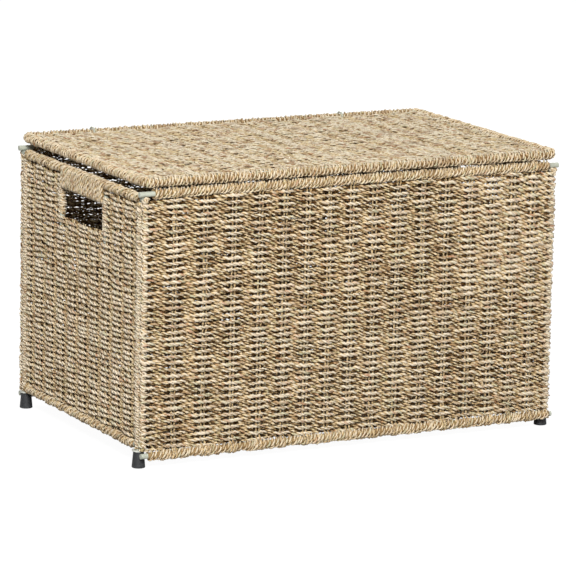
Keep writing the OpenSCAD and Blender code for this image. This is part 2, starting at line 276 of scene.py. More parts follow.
        # The open attribute carries the painted shade: 0 in the deepest crevices, 1 where a cord lies open.
        painted_shade_layer = mesh.attributes.new("open", "FLOAT", "POINT")
        painted_shade_layer.data.foreach_set("value", np.concatenate(self.opens).astype(np.float32))
        layer = mesh.uv_layers.new(name="OFBake")
        layer.data.foreach_set("uv", self.uv().astype(np.float32).ravel())
        place_piece(name, mesh, material, body, slot, *nodes)


def place_piece(name, mesh, material, body, slot, *nodes):
    """Makes an object of the mesh, rides it on its body and hides the CAD nodes it stands for."""
    mesh.materials.append(material)
    piece = bpy.data.objects.new(name, mesh)
    bpy.context.scene.collection.objects.link(piece)
    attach(piece, body)
    if nodes:
        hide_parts(*nodes)


# ---- materials

# A Mix node has one factor, A, B and result socket for each kind of value: these are the colour ones.
MIX_SOCKETS = (0, 6, 7)
MIX_RESULT = 2


class Nodes:
    """A short way to write one material's node tree."""

    def __init__(self, name):
        self.material = bpy.data.materials.new(name)
        self.material.use_nodes = True
        self.tree = self.material.node_tree
        self.tree.nodes.clear()
        self.shader = self.add("ShaderNodeBsdfPrincipled")
        self.output = self.add("ShaderNodeOutputMaterial")
        self.tree.links.new(self.shader.outputs["BSDF"], self.output.inputs["Surface"])

    def add(self, kind, inputs=(), **settings):
        node = self.tree.nodes.new(kind)
        for key, value in settings.items():
            setattr(node, key, value)
        for key, value in dict(inputs).items():
            self.put(node.inputs[key], value)
        return node

    def put(self, socket, value):
        if isinstance(value, bpy.types.NodeSocket):
            self.tree.links.new(value, socket)
        else:
            socket.default_value = value

    def set(self, **values):
        for key, value in values.items():
            self.put(self.shader.inputs[key.replace("_", " ")], value)

    def attribute(self, name, out):
        return self.add("ShaderNodeAttribute", attribute_name=name).outputs[out]

    def stretch(self, vector, scale, shift=(0, 0, 0)):
        node = self.add("ShaderNodeMapping", {"Vector": vector, "Scale": scale, "Location": shift})
        return node.outputs["Vector"]

    def noise(self, vector, detail, roughness=0.55):
        inputs = {"Vector": vector, "Scale": 1.0, "Detail": detail, "Roughness": roughness}
        return self.add("ShaderNodeTexNoise", inputs).outputs["Fac"]

    def ramp(self, factor, stops):
        node = self.add("ShaderNodeValToRGB", {"Fac": factor})
        ramp = node.color_ramp
        while len(ramp.elements) < len(stops):
            ramp.elements.new(0.5)
        for element, (at, colour) in zip(ramp.elements, stops, strict=True):
            element.position = at
            element.color = (*colour, 1)
        return node.outputs["Color"]

    def remap(self, value, from_low, from_high, to_low=0.0, to_high=1.0):
        sockets = ("Value", "From Min", "From Max", "To Min", "To Max")
        inputs = zip(sockets, (value, from_low, from_high, to_low, to_high), strict=True)
        return self.add("ShaderNodeMapRange", inputs, interpolation_type="SMOOTHSTEP").outputs["Result"]

    def mix(self, factor, a, b, blend="MIX"):
        node = self.add("ShaderNodeMix", data_type="RGBA", blend_type=blend)
        for index, value in zip(MIX_SOCKETS, (factor, a, b), strict=True):
            if isinstance(value, tuple) and len(value) == 3:
                value = (*value, 1)
            self.put(node.inputs[index], value)
        return node.outputs[MIX_RESULT]

    def bump(self, height, strength, distance):
        node = self.add("ShaderNodeBump", {"Height": height, "Strength": strength, "Distance": distance})
        self.put(self.shader.inputs["Normal"], node.outputs["Normal"])


def linear(r, g, b):
    """Scene-linear colour of a display colour given from 0 to 255."""
    shares = (r / 255, g / 255, b / 255)
    return tuple(c / 12.92 if c <= 0.04045 else ((c + 0.055) / 1.055) ** 2.4 for c in shares)


# Painted shade in the crevices: the tones that darken them, and how open a place is, from 0 to 1, where each
# of them is reached.
DEEP_PAINTED_SHADE = (0.18, 0.095, 0.018)
HALF_PAINTED_SHADE = (0.92, 0.8, 0.58)
UNSHADED_TONE = (1.0, 1.0, 1.0)
WALL_PAINTED_SHADE_STOPS = (0.05, 0.24, 0.46)
BOUND_PAINTED_SHADE_STOPS = (0.16, 0.42, 0.7)
LID_PAINTED_SHADE_STOPS = (0.1, 0.33, 0.6)
PALER = 1.01
# Fibres as dark streaks: where on the noise each tone lies.
STREAKS = [(0.34, (0.34, 0.28, 0.2)), (0.46, (0.87, 0.85, 0.81)), (0.6, (1.0, 1.0, 1.0))]


def seagrass(name, tones, seed, reddish=0.58, crevices=WALL_PAINTED_SHADE_STOPS):
    """Dried twisted grass: colour that changes along each ply, fine fibres, dull gloss, and painted shade in
    its crevices.

    tones are the straw, its shade, and its green and its red patches."""
    t = Nodes(name)
    straw, shade, green, red = (linear(*tone) for tone in tones)
    fibre = t.attribute("fibre", "Vector")
    tint = t.attribute("tint", "Fac")
    slow = t.noise(t.stretch(fibre, (30, 160, 160), (seed, 0, 0)), detail=2)
    patch = t.noise(t.stretch(fibre, (48, 240, 240), (seed + 7, 3, 1)), detail=3)
    bands = t.noise(t.stretch(fibre, (22, 90, 90), (seed + 15, 5, 2)), detail=2)
    streak = t.noise(t.stretch(fibre, (90, 2100, 2100), (seed + 23, 0, 0)), detail=4, roughness=0.6)
    hair = t.noise(t.stretch(fibre, (260, 5200, 5200), (seed + 31, 0, 0)), detail=2)
    pale = tuple(min(1, c * PALER) for c in straw)
    base = t.ramp(tint, [(0.0, shade), (0.42, straw), (0.78, straw), (1.0, pale)])
    base = t.mix(t.remap(bands, 0.5, 0.66, 0, 0.75), base, green)
    base = t.mix(t.remap(patch, reddish, reddish + 0.1, 0, 0.8), base, red)
    base = t.mix(t.remap(slow, 0.3, 0.7, 0.0, 0.5), base, pale)
    base = t.mix(0.8, base, t.ramp(streak, STREAKS), "MULTIPLY")
    # Painted shade: the open attribute darkens the colour in the crevices and deep in the walls.
    painted_shade_stops = list(zip(crevices, (DEEP_PAINTED_SHADE, HALF_PAINTED_SHADE, UNSHADED_TONE), strict=True))
    base = t.mix(1.0, base, t.ramp(t.attribute("open", "Fac"), painted_shade_stops), "MULTIPLY")
    rough = t.remap(streak, 0.3, 0.7, 0.82, 0.6)
    height = t.mix(0.35, streak, hair)
    t.set(Base_Color=base, Roughness=rough)
    t.set(Specular_IOR_Level=0.18, Sheen_Weight=0.04, Sheen_Roughness=0.5)
    t.bump(height, 0.5, 0.0004)
    return t.material


def painted(name, colour, worn, seed, roughness=0.42):
    """Sprayed paint on rod or wire: slight orange peel, duller and darker in patches."""
    t = Nodes(name)
    colour, worn = linear(*colour), linear(*worn)
    place = t.add("ShaderNodeTexCoord").outputs["Object"]
    cloud = t.noise(t.stretch(place, (60, 60, 60), (seed, 0, 0)), detail=4)
    peel = t.noise(t.stretch(place, (1400, 1400, 1400), (seed + 5, 0, 0)), detail=2)
    specks = t.noise(t.stretch(place, (420, 420, 420), (seed + 9, 0, 0)), detail=3)
    base = t.mix(t.remap(cloud, 0.35, 0.7, 0.0, 0.55), colour, worn)
    base = t.mix(t.remap(specks, 0.63, 0.72, 0.0, 0.6), base, tuple(c * 0.45 for c in worn))
    t.set(Base_Color=base, Roughness=t.remap(cloud, 0.3, 0.7, roughness - 0.08, roughness + 0.14))
    t.set(Specular_IOR_Level=0.5)
    t.bump(peel, 0.12, 0.0002)
    return t.material


def moulded(name, colour, seed):
    """Moulded plastic with a fine grain and scuffs low down."""
    t = Nodes(name)
    colour = linear(*colour)
    place = t.add("ShaderNodeTexCoord").outputs["Object"]
    grain = t.noise(t.stretch(place, (2600, 2600, 2600), (seed, 0, 0)), detail=2)
    scuff = t.noise(t.stretch(place, (260, 260, 900), (seed + 4, 0, 0)), detail=5, roughness=0.7)
    low = t.remap(t.add("ShaderNodeSeparateXYZ", {"Vector": place}).outputs["Z"], 0.0, 0.007, 1.0, 0.0)
    rubbed = t.add("ShaderNodeMath", {0: t.remap(scuff, 0.45, 0.7), 1: low}, operation="MULTIPLY")
    base = t.mix(t.remap(scuff, 0.35, 0.7), colour, tuple(c * 1.5 for c in colour))
    base = t.mix(rubbed.outputs["Value"], base, tuple(c * 3.2 for c in colour))
    t.set(Base_Color=base, Roughness=t.remap(scuff, 0.3, 0.7, 0.42, 0.6))
    t.bump(grain, 0.15, 0.0001)
    return t.material


# Display colours from 0 to 255. The straw and its shade come first, then the green and the red patches.
GREEN, RED = (182, 182, 150), (172, 112, 74)
WALL_TONES = ((218, 205, 183), (160, 130, 94), GREEN, RED)
LID_TONES = ((208, 197, 175), (136, 104, 72), (190, 184, 154), (150, 100, 64))
BOUND_TONES = ((214, 198, 172), (158, 128, 92), GREEN, RED)
UPRIGHT_TONES = ((220, 204, 176), (166, 142, 108), GREEN, RED)

wall_grass = seagrass("wall_seagrass", WALL_TONES, 1.0)
lid_grass = seagrass("lid_seagrass", LID_TONES, 41.0, 0.55, LID_PAINTED_SHADE_STOPS)
bound_grass = seagrass("bound_seagrass", BOUND_TONES, 83.0, 0.62, BOUND_PAINTED_SHADE_STOPS)
upright_grass = seagrass("upright_seagrass", UPRIGHT_TONES, 127.0, 0.64)
rod_paint = painted("rod_paint", (172, 176, 162), (150, 150, 134), 3.0)
wire_paint = painted("wire_paint", (178, 180, 164), (146, 144, 126), 11.0, 0.4)
washer_paint = painted("washer_paint", (196, 198, 190), (160, 158, 146), 19.0, 0.36)
foot_plastic = moulded("foot_plastic", (35, 36, 38), 2.0)

# ---- weaving

ROW_STEP = 4.0
TURN_STEPS = 5
SWING_POWER = 1.9

# The unevenness of the rows, and over how many rows and points of a row each kind keeps to one value.
# The noise repeats past its last row, so it is made with some rows to spare.
SPARE_ROWS = 8
WANDER_REACH = (2.5, 9)
JITTER_REACH = (0.01, 3)
DRIFT, DRIFT_REACH = 0.9, (9, 16)
PRESS, PRESS_REACH = 0.1, (0.01, 4)


class Wall:
    """A flat woven face: u runs along its rows, v up it and n out of it."""

    def __init__(self, origin, u, v):
        self.origin = np.array(origin, float)
        self.u, self.v = np.array(u, float), np.array(v, float)
        self.n = np.cross(self.u, self.v)
        self.axes = np.stack([self.u, self.v, self.n])

    def at(self, path):
        return self.origin + path @ self.axes


def snake(rng, stations, depths, heights, pitch, first, stray, step=ROW_STEP):
    """The path of one cord that weaves to and fro over the stations, and how many rows it has.

    stray is how far the rows wander up and down, slowly and quickly."""
    stations = np.array(stations, float)
    v_low, v_high = heights
    gaps = max(int(round((v_high - v_low) / pitch)), 1)
    rise = (v_high - v_low) / gaps
    rows = gaps + 1
    n = int(round((stations[-1] - stations[0]) / step)) + 1
    u = np.linspace(stations[0], stations[-1], n)
    k = np.clip(np.searchsorted(stations, u, side="right") - 1, 0, len(stations) - 2)
    share = (u - stations[k]) / (stations[k + 1] - stations[k])
    swing = np.cos(math.pi * (share + k))
    swing = np.sign(swing) * np.abs(swing) ** SWING_POWER
    depth = np.interp(u, stations, depths)
    field = (rows + SPARE_ROWS, n)
    wander, jitter = stray
    lift = wander * smooth_noise(rng, field, WANDER_REACH) + jitter * smooth_noise(rng, field, JITTER_REACH)
    belly = DRIFT * np.sin(math.pi * (np.arange(rows) + 0.5) / rows)[:, None]
    lift[:rows] += belly * smooth_noise(rng, (rows, n), DRIFT_REACH)
    press = 1 + PRESS * smooth_noise(rng, field, PRESS_REACH)
    path = []
    for row in range(rows):
        side = 1 if (row + first) % 2 == 0 else -1
        v = v_low + row * rise + lift[row]
        run = np.stack([u, v, side * swing * depth * press[row]], axis=1)
        if row % 2:
            run = run[::-1]
        if path:
            last = path[-1][-1]
            way = 1 if row % 2 else -1
            theta = np.linspace(0, math.pi, TURN_STEPS + 2)[1:-1]
            half = (last[2] - run[0][2]) / 2
            part = theta / math.pi
            turn_v = last[1] + (run[0][1] - last[1]) * part * part * (3 - 2 * part)
            turn_u = last[0] + way * abs(half) * np.sin(theta)
            turn_n = (last[2] + run[0][2]) / 2 + half * np.cos(theta)
            path.append(np.stack([turn_u, turn_v, turn_n], axis=1))
        path.append(run)
    return np.concatenate(path), rows


def weave(bundle, wall, stations, depths, heights, pitch, first, cord, stray, slack=None):
    """Fills a block of a wall with rows between two heights, and returns how many.

    cord is the rows' ply, apart and lay. slack is a place along the wall and how much thinner the rows are
    round it."""
    path, rows = snake(bundle.rng, stations, depths, heights, pitch, first, stray)
    ply, apart, lay = cord
    if slack is not None:
        place, thinner = slack
        ply = ply * (1 - thinner * np.exp(-(((path[:, 0] - place) / SLACK_REACH) ** 2)))
    level, deep = path[:, 2], max(depths)
    bundle.cord(wall.at(path), wall.n, ply, apart, lay, rough=ROUGH, level=level, deep=deep, inner=INNER_PAINTED_SHADE)
    return rows


def places(low, warps, high, depth):
    """Where a block's rows turn back or cross an upright pair, and how far out they swing at each."""
    return [low, *warps, high], [EDGE_DEPTH, *[depth] * len(warps), EDGE_DEPTH]


ROUGH = 0.14
ROW_PLY = 1.42
ROW_APART = 1.36
ROW_LAY = 17.0
ROW_REACH = ROW_PLY + ROW_APART
# How open the inner side of a wall looks beside the outer side: painted shade over the whole inner side of
# the walls.
INNER_PAINTED_SHADE = 0.35
# Round these places along a wall the upper rows are thinner by a share, or thicker where it is negative.
BACK_SLACK = (190.0, 0.17)
FRONT_SLACK = (222.0, -0.2)
SLACK_REACH = 75.0

long_low, long_high = box("weave_front")
end_low, end_high = box("weave_left")
front_warps, front_tops = upright_places("warp_cords_front", 0)
back_warps, back_tops = upright_places("warp_cords_back", 0)
end_warps, end_tops = upright_places("warp_cords_right", 1)
post_low, post_high = box("post_front_left")
rim_low, rim_high = box("top_rim_rod")
grip_low, grip_high = box("handle_grip_left")

post_x = (post_low[0] + post_high[0]) / -2
post_y = (post_low[1] + post_high[1]) / -2
rod_r = (post_high[0] - post_low[0]) / 2
long_mid = -(long_low[1] + long_high[1]) / 2
end_mid = -(end_low[0] + end_high[0]) / 2

EDGE_DEPTH = 2.5
TOP_ROW_LIFT = 3.7
LONG_DEPTH = 3.0
LONG_PITCH = 3.76
LONG_STRAY = (0.6, 0.34)
LONG_DROP = 2.2
COLUMN_ROOM = 1.5
END_DEPTH = 2.8
END_PITCH = 3.28
END_STRAY = (0.75, 0.5)
END_DROP = 0.6
END_PLY, END_APART, END_LAY = 1.06, 0.8, 0.78

front = Wall((0, -long_mid, 0), (1, 0, 0), (0, 0, 1))
back = Wall((0, long_mid, 0), (-1, 0, 0), (0, 0, 1))
left = Wall((-end_mid, 0, 0), (0, -1, 0), (0, 0, 1))
right = Wall((end_mid, 0, 0), (0, 1, 0), (0, 0, 1))

turn_u = long_high[0] - ROW_REACH - EDGE_DEPTH - COLUMN_ROOM
long_bottom = long_low[2] + ROW_REACH - LONG_DROP
long_top = long_high[2] - ROW_REACH + TOP_ROW_LIFT
long_middle = (long_bottom + long_top) / 2
lower_heights = (long_bottom, long_middle - LONG_PITCH / 2)
upper_heights = (long_middle + LONG_PITCH / 2, long_top)
for wall, name, seed, warps, fat, upper_fat, slack in (
    (front, "front", 5, front_warps, 1.04, 1.04, FRONT_SLACK),
    (back, "back", 6, -back_warps[::-1], 1.16, 1.14, BACK_SLACK),
):
    stations, depths = places(-turn_u, warps, turn_u, LONG_DEPTH)
    lower = Bundle(seed)
    cord = (ROW_PLY * fat, ROW_APART * fat, ROW_LAY)
    count = weave(lower, wall, stations, depths, lower_heights, LONG_PITCH, 0, cord, LONG_STRAY)
    lower.build(f"weave_{name}_lower_rows", wall_grass, "trunk", "woven_cord", f"weave_{name}")
    upper = Bundle(seed + 10)
    cord = (ROW_PLY * upper_fat, ROW_APART * upper_fat, ROW_LAY)
    weave(upper, wall, stations, depths, upper_heights, LONG_PITCH, count, cord, LONG_STRAY, slack)
    upper.build(f"weave_{name}_upper_rows", wall_grass, "trunk", "woven_cord", f"weave_{name}")

LEG_OUT = 0.7
SILL_RISE = 13.5

opening_front = grip_low[1] - LEG_OUT
opening_back = grip_high[1] + LEG_OUT
opening_sill = box("handle_frame_left")[0][2] + SILL_RISE
end_bottom = end_low[2] + ROW_REACH - END_DROP
end_top = end_high[2] - ROW_REACH + TOP_ROW_LIFT


def end_rows(wall, name, seed, mirror, fat):
    """The end wall's rows, which turn back at the legs of the hand opening."""
    leg_a, leg_b = (-opening_back, -opening_front) if mirror else (opening_front, opening_back)
    warps = -end_warps[::-1] if mirror else end_warps
    cord = (ROW_PLY * fat * END_PLY, ROW_APART * fat * END_APART, ROW_LAY * END_LAY)
    sill = opening_sill - ROW_REACH
    stations, depths = places(-post_y, warps, post_y, END_DEPTH)
    lower = Bundle(seed)
    count = weave(lower, wall, stations, depths, (end_bottom, sill), END_PITCH, 0, cord, END_STRAY)
    lower.build(f"weave_{name}_lower_rows", wall_grass, "trunk", "woven_cord", f"weave_{name}")
    upper = Bundle(seed + 10)
    heights = (sill + END_PITCH, end_top)
    for low, high in ((-post_y, leg_a), (leg_b, post_y)):
        inner = [w for w in warps if low + PAIR_GAP < w < high - PAIR_GAP]
        stations, depths = places(low, inner, high, END_DEPTH)
        weave(upper, wall, stations, depths, heights, END_PITCH, count, cord, END_STRAY)
    upper.build(f"weave_{name}_upper_rows", wall_grass, "trunk", "woven_cord", f"weave_{name}")


end_rows(left, "left", 25, True, 0.94)
end_rows(right, "right", 26, False, 1.04)

# ---- lid

LID_PLY = 1.32
LID_APART = 1.3
LID_LAY = 18.0
LID_ROUGH = 0.17
LID_REACH = LID_PLY + LID_APART
LID_DEPTH = 1.9
LID_PITCH = 3.3
LID_STRAY = (0.5, 0.4)
LID_STEP = 3.8
LID_RIPPLE, LID_RIPPLE_REACH = 0.5, 2.2
LID_WARPS = 17
LID_ROD_REACH = 4.6
LID_OVER_ROD = 2.3
RING_ROOM_REACH = 7.5
RING_ROOM = 0.8

lid_low, lid_high = box("lid_weave")
lid_rod_low, lid_rod_high = box("lid_frame_rod")
ring_xs = [(box(n)[0][0] + box(n)[1][0]) / 2 for n in ("hinge_ring_left", "hinge_ring_right")]
ring_front = box("hinge_ring_left")[0][1]
lid_rods, _ = upright_places("lid_cross_rods", 0)
lid_mid = (lid_low[2] + lid_high[2]) / 2
lid_x = (lid_low[0] + lid_high[0]) / 2
lid_wall = Wall((lid_x, 0, lid_mid), (1, 0, 0), (0, 1, 0))
lid_u = (lid_high[0] - lid_low[0]) / 2 - LID_REACH - LID_DEPTH
lid_stations = np.linspace(-lid_u, lid_u, LID_WARPS + 2)
lid_v = lid_high[1] - LID_REACH
lid_depths = [LID_DEPTH] * len(lid_stations)


def near(path, x, reach):
    """How near the lid's points lie to a place along it, from 0 to 1."""
    return np.exp(-(((path[:, 0] + lid_x - x) / reach) ** 4))


for name, heights, seed in (("front", (-lid_v, -LID_PITCH / 2), 31), ("back", (LID_PITCH / 2, lid_v), 32)):
    bundle = Bundle(seed)
    path, _ = snake(bundle.rng, lid_stations, lid_depths, heights, LID_PITCH, 0, LID_STRAY, LID_STEP)
    # The rows keep clear of the two rings, and pass over the cross rods.
    limit = ring_front - LID_REACH - RING_ROOM
    for x in ring_xs:
        path[:, 1] -= near(path, x, RING_ROOM_REACH) * np.maximum(path[:, 1] - limit, 0)
    path[:, 2] += LID_RIPPLE * smooth_noise(bundle.rng, (len(path),), (LID_RIPPLE_REACH,))
    for x in lid_rods:
        path[:, 2] += near(path, x, LID_ROD_REACH) * (LID_OVER_ROD - path[:, 2])
    points, level = lid_wall.at(path), path[:, 2]
    bundle.cord(points, lid_wall.n, LID_PLY, LID_APART, LID_LAY, rough=LID_ROUGH, level=level, deep=LID_DEPTH)
    bundle.build(f"lid_weave_{name}_rows", lid_grass, "lid", "lid_cord", "lid_weave")

# ---- floor

FLOOR_PITCH = 4.3
FLOOR_DEPTH = 2.0
FLOOR_STRAY = (0.4, 0.25)
FLOOR_STEP = 5.0
FLOOR_INSET = 2.4
FLOOR_STATIONS = 15
FOOT_ROOM = 24.5

floor_low, floor_high = box("floor_weave")
floor_wall = Wall((0, 0, (floor_low[2] + floor_high[2]) / 2), (1, 0, 0), (0, 1, 0))
floor_u = floor_high[0] - ROW_REACH - FLOOR_INSET
floor_v = floor_high[1] - ROW_REACH
stations = np.linspace(-floor_u, floor_u, FLOOR_STATIONS)
depths = [FLOOR_DEPTH] * FLOOR_STATIONS
bundle = Bundle(41)
path, _ = snake(bundle.rng, stations, depths, (-floor_v, floor_v), FLOOR_PITCH, 0, FLOOR_STRAY, FLOOR_STEP)
# The rows beside the feet are shorter.
_, washer_high = box("foot_washers")
corner_x, corner_y = washer_high[0] - FOOT_ROOM, washer_high[1] - FOOT_ROOM
over_y = np.abs(path[:, 1]) > corner_y
path[over_y, 0] = np.clip(path[over_y, 0], -corner_x, corner_x)
points, level = floor_wall.at(path), path[:, 2]
bundle.cord(points, floor_wall.n, ROW_PLY, ROW_APART, ROW_LAY, level=level, deep=FLOOR_DEPTH)
bundle.build("floor_weave_rows", wall_grass, "trunk", "woven_cord", "floor_weave")

# ---- binding

BAR_STEP = 4.0
BIND_PLY = 1.22
BIND_APART = 1.2
BIND_LAY = 15.0
BIND_PITCH = 4.9
BIND_IN = 1.25
BIND_STEP = 2.0
BIND_WOBBLE = 0.16
BIND_WAVE, BIND_WAVE_REACH = 0.22, 3
CORE_IN = 0.5
# The core under each winding is painted in shade, so the gaps between its turns look dark.
CORE_PAINTED_SHADE = 0.24
CORE_SIDES = 12
RING_PINCH = 1.1
RING_REACH = 5.0

X, Y, Z = (1, 0, 0), (0, 1, 0), (0, 0, 1)


def pinch(places):
    """How much thinner the binding is where a hinge ring lies round it."""
    depth = sum(np.exp(-(((places[:, 0] - x) / RING_REACH) ** 4)) for x in ring_xs)
    return RING_PINCH * depth * (places[:, 1] > ring_front)


def core_painted_shade(ring):
    """The core under a winding gets painted shade all over, as dark as the crevices."""
    return np.full(ring.shape[:2], CORE_PAINTED_SHADE)


def bind(
    bundle,
    axis,
    across,
    out,
    half_out,
    half_across=None,
    pitch=BIND_PITCH,
    ply=BIND_PLY,
    apart=BIND_APART,
    loose=1.0,
    measure=None,
):
    """Winds a cord round a bar, over a core painted dark as the shade between the turns.

    axis is the bar's path. across and out span its section, a stadium half_across by half_out, or a circle
    without half_across. The turns are evenly spaced along measure, a path beside the axis."""
    half_across = half_across or half_out
    # A dark core in painted shade, seen through the gaps between the turns.
    bundle.tube(axis, out, half_across - CORE_IN, half_out - CORE_IN, CORE_SIDES, open_at=core_painted_shade)
    s = lengths(axis if measure is None else measure)
    turns = s[-1] / pitch
    flat = 2 * max(half_across - half_out, 0)
    quarter = math.pi * half_out
    around = 2 * flat + TAU * half_out
    n = int(turns * around / BIND_STEP)
    t = np.linspace(0, 1, n)
    wobble = BIND_WOBBLE * loose * smooth_noise(bundle.rng, (n,), (around / BIND_STEP,))
    wave = BIND_WAVE * loose * smooth_noise(bundle.rng, (n,), (BIND_WAVE_REACH,))
    place = np.clip(t * s[-1] + wobble * pitch, 0, s[-1])
    base = read_off(axis, s, place)
    across_at = unit(read_off(np.broadcast_to(across, axis.shape), s, place))
    out_at = unit(read_off(np.broadcast_to(out, axis.shape), s, place))
    # Round the section: a flat side, a half turn, the other flat side and the other half turn.
    spot = (t * turns * around) % around
    edges = np.array([0, flat, flat + quarter, 2 * flat + quarter])
    part = np.searchsorted(edges, spot, side="right") - 1
    local = spot - edges[part]
    angle = np.choose(part, (0.0, local / half_out, math.pi, math.pi + local / half_out))
    shift = np.choose(part, (local - flat / 2, flat / 2, flat / 2 - local, -flat / 2))
    facing = out_at * np.cos(angle)[:, None] + across_at * np.sin(angle)[:, None]
    grow = half_out + wave - pinch(base)
    path = base + facing * grow[:, None] + across_at * shift[:, None]
    bundle.cord(path, facing, ply, apart, BIND_LAY, rough=ROUGH)


def bar(start, end):
    """Points along a straight bar."""
    return resample(np.array([start, end], float), BAR_STEP)


WRAP_SHORT = 1.5
WRAP_PROUD = 0.3
RIM_LOOSE, BASE_LOOSE = 1.3, 1.8


def bind_node(node, along, seed, proud, loose):
    """Binds the round bar that a wrap node stands for, along its own axis."""
    low, high = box(node)
    middle = (low + high) / 2
    radius = min(high - low) / 2 - BIND_IN + proud
    start, end = middle.copy(), middle.copy()
    start[along], end[along] = low[along] + WRAP_SHORT, high[along] - WRAP_SHORT
    bundle = Bundle(seed)
    across, out = (Y, Z) if along == 0 else (Z, X)
    bind(bundle, bar(start, end), across, out, radius, loose=loose)
    bundle.build(f"{node}_cord", bound_grass, "trunk", "bound_cord", node)


bind_node("rim_wrap_front", 0, 50, WRAP_PROUD, RIM_LOOSE)
bind_node("rim_wrap_back", 0, 51, WRAP_PROUD, RIM_LOOSE)
bind_node("base_wrap_front", 0, 52, 0, BASE_LOOSE)
bind_node("base_wrap_back", 0, 53, 0, BASE_LOOSE)
bind_node("base_wrap_left", 1, 54, 0, BASE_LOOSE)
bind_node("base_wrap_right", 1, 55, 0, BASE_LOOSE)

RIM_RUN_ON = 5.0
GRIP_GAP = 1.2
TIP_R, TIP_INNER = 3.2, 0.8
TIP_TURNS = 1.6
TIP_STEPS = 24
TIP_PROUD = 0.9
TIP_PLY, TIP_APART, TIP_LAY = 0.8, 0.7, 11.0

# The end rods are bound on both sides of the grip, and their tips are covered by a wound spiral.
for number, node in enumerate(("rim_wrap_left", "rim_wrap_right")):
    low, high = box(node)
    x, _, z = (low + high) / 2
    radius = (high[0] - low[0]) / 2 - BIND_IN
    bundle = Bundle(60 + number)
    for y0, y1 in (
        (low[1] - RIM_RUN_ON, grip_low[1] - GRIP_GAP),
        (grip_high[1] + GRIP_GAP, high[1] + RIM_RUN_ON),
    ):
        bind(bundle, bar((x, y0, z), (x, y1, z)), Z, X, radius)
    for sy in (-1, 1):
        t = np.linspace(0, 1, TIP_STEPS)
        radius_at, angle = TIP_R * (1 - TIP_INNER * t), TAU * TIP_TURNS * t
        tip_y = np.full(TIP_STEPS, sy * (rim_high[1] + TIP_PROUD))
        path = np.stack([x + radius_at * np.cos(angle), tip_y, z + radius_at * np.sin(angle)], axis=1)
        bundle.cord(path, (0, sy, 0), BIND_PLY * TIP_PLY, BIND_APART * TIP_APART, TIP_LAY, rough=ROUGH)
    bundle.build(f"{node}_cord", bound_grass, "trunk", "bound_cord", node)

GRIP_DROP = 2.4
GRIP_IN = 0.9

for number, node in enumerate(("handle_grip_left", "handle_grip_right")):
    low, high = box(node)
    low[2] -= GRIP_DROP
    x, _, z = (low + high) / 2
    half_out, half_across = (high[0] - low[0]) / 2 - GRIP_IN, (high[2] - low[2]) / 2 - GRIP_IN
    axis = bar((x, low[1] + GRIP_GAP, z), (x, high[1] - GRIP_GAP, z))
    bundle = Bundle(70 + number)
    bind(bundle, axis, Z, X, half_out, half_across, pitch=4.1, ply=1.12, apart=0.95, loose=1.5)
    bundle.build(f"{node}_cord", bound_grass, "trunk", "bound_cord", node)

POST_ROOM = 0.75
POST_FOOT_GAP = 1.3

post_foot = washer_high[2] + POST_FOOT_GAP
post_top = rim_low[2] - 1
leg_foot = opening_sill + 1

# The corner posts and the legs of the hand openings are covered by cord where the rows turn round them.
for number, (sx, name) in enumerate(((-1, "left"), (1, "right"))):
    bundle = Bundle(76 + number)
    for y, low, high in (
        (-post_y, post_foot, post_top),
        (post_y, post_foot, post_top),
        (opening_front, leg_foot, grip_low[2]),
        (opening_back, leg_foot, grip_low[2]),
    ):
        axis = bar((sx * post_x, y, low), (sx * post_x, y, high))
        bind(bundle, axis, Y, (sx, 0, 0), rod_r + POST_ROOM, pitch=3.4, ply=0.95, apart=0.8)
    bundle.build(f"turned_cord_{name}", wall_grass, "trunk", "woven_cord")

COLUMN_R = 2.7
COLUMN_IN_X, COLUMN_IN_Y = 5.6, 5.4
COLUMN_TOP_GAP = 1.6

column_x, column_y = long_high[0] - COLUMN_IN_X, -long_low[1] - COLUMN_IN_Y
column_foot = long_low[2] - 1
column_top = rim_high[2] - 2 * rod_r - COLUMN_TOP_GAP

# The rows of the front and the back end in a column of loops at each corner.
for number, (name, sy) in enumerate((("front", -1), ("back", 1))):
    bundle = Bundle(78 + number)
    for sx in (-1, 1):
        x, y = sx * column_x, sy * column_y
        axis = bar((x, y, column_foot), (x, y, column_top))
        bind(bundle, axis, Y, (sx, 0, 0), COLUMN_R, pitch=4.2, loose=2.6)
    bundle.build(f"corner_loops_{name}", wall_grass, "trunk", "woven_cord")

LID_BEND, BEND_STEPS = 6.5, 8
END_SAG = 1.2
FRONT_SAG = 0.9
BORDER_STEP = 2.0

wrap_low, wrap_high = box("lid_wrap_front")
border_r = (wrap_high[2] - wrap_low[2]) / 2 - BIND_IN + WRAP_PROUD
lid_rod_r = (lid_rod_high[2] - lid_rod_low[2]) / 2
lid_centre = (lid_rod_high[0] + lid_rod_low[0]) / 2
rod_x, rod_y = lid_rod_high[0] - lid_rod_r - lid_centre, lid_rod_high[1] - lid_rod_r
rod_z = (lid_rod_high[2] + lid_rod_low[2]) / 2


def rounded(x, y, z, bend):
    """A rounded rectangle's path from the middle of its front, with its outward directions."""
    points, outward = [(0, -y, z)], [(0, -1, 0)]
    for sx, sy, start in ((1, -1, -90), (1, 1, 0), (-1, 1, 90), (-1, -1, 180)):
        for step in range(BEND_STEPS + 1):
            a = math.radians(start + 90 * step / BEND_STEPS)
            way = (math.cos(a), math.sin(a), 0)
            points.append((sx * (x - bend) + bend * way[0], sy * (y - bend) + bend * way[1], z))
            outward.append(way)
    points.append((0, -y, z))
    outward.append((0, -1, 0))
    return np.array(points), np.array(outward, float)


